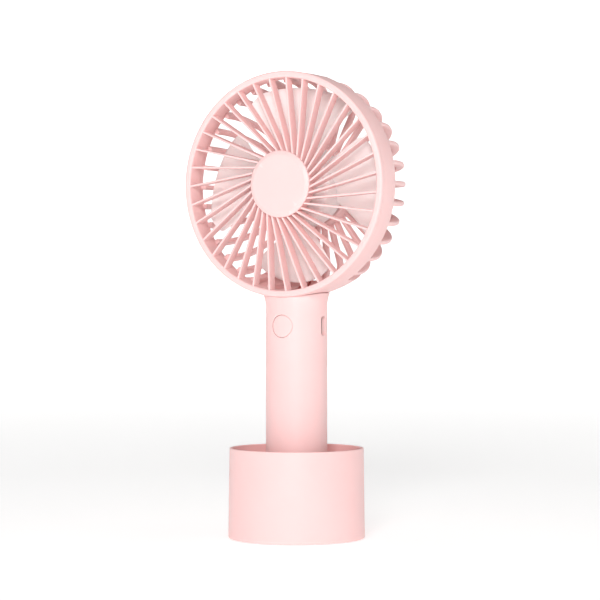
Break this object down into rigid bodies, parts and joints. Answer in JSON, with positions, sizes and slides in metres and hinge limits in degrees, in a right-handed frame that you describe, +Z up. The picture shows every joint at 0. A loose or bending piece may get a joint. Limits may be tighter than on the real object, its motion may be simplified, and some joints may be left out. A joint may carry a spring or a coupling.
{
  "type": "handheld electric fan",
  "caption": "Pocket-size electric fan with a round caged head on a plain tube handle, standing in a weighted cup stand; the blades spin, the button presses and the fan lifts out.",
  "frame": {"origin": "centre of the stand's underside, on the surface it stands on, on the handle's axis", "axes": "+Z up along the handle, the fan blows towards -Y, +X is on the side of the charging port"},
  "size_m": [0.102, 0.0624, 0.212],
  "materials": {
    "pink_plastic": "satin",
    "blade_plastic": "satin",
    "ballast_iron": "as cast",
    "foot_rubber": "matte",
    "screw_steel": "plated",
    "cell_wrap": "satin",
    "nickel": "plated",
    "wire_sleeve": "satin",
    "board_green": "gloss",
    "black_plastic": "matte",
    "lamination_steel": "satin",
    "copper": "enamelled",
    "bronze": "sintered",
    "magnet": "matte"
  },
  "bodies": {
    "stand": {"stand_shell": "pink_plastic", "stand_socket": "pink_plastic", "stand_weight": "ballast_iron", "stand_base_plate": "pink_plastic", "foot_pad": "foot_rubber", "stand_screws": "screw_steel"},
    "fan": {"grille_ring": "pink_plastic", "grille_ribs": "pink_plastic", "grille_hub": "pink_plastic", "grille_badge": "pink_plastic", "guard_band": "pink_plastic", "guard_fins": "pink_plastic", "motor_pocket": "pink_plastic", "rear_cap": "pink_plastic", "handle_front_shell": "pink_plastic", "handle_rear_shell": "pink_plastic", "handle_end_cap": "pink_plastic", "handle_screws": "screw_steel", "battery_cell": "cell_wrap", "battery_tabs": "nickel", "battery_leads": "wire_sleeve", "circuit_board": "board_green", "charging_socket": "nickel", "switch_body": "black_plastic", "motor_base": "black_plastic", "stator_core": "lamination_steel", "stator_coils": "copper", "shaft_bushes": "bronze", "motor_screws": "screw_steel", "motor_leads": "wire_sleeve"},
    "rotor": {"impeller": "blade_plastic", "rotor_can": "lamination_steel", "rotor_magnet": "magnet", "motor_shaft": "screw_steel", "shaft_clip": "bronze"},
    "button": {"power_button": "pink_plastic", "switch_plunger": "black_plastic"}
  },
  "joints": [
    {"name": "lift", "type": "slide", "parent": "stand", "child": "fan", "axis": [0, 0, 1], "range_m": [0, 0.06]},
    {"name": "spin", "type": "hinge", "parent": "fan", "child": "rotor", "pos_m": [0, 0, 0.161], "axis": [0, -1, 0], "continuous": true},
    {"name": "press", "type": "slide", "parent": "fan", "child": "button", "axis": [0, 1, 0], "range_m": [0, 0.0006], "stiffness_N_per_m": 1500}
  ]
}
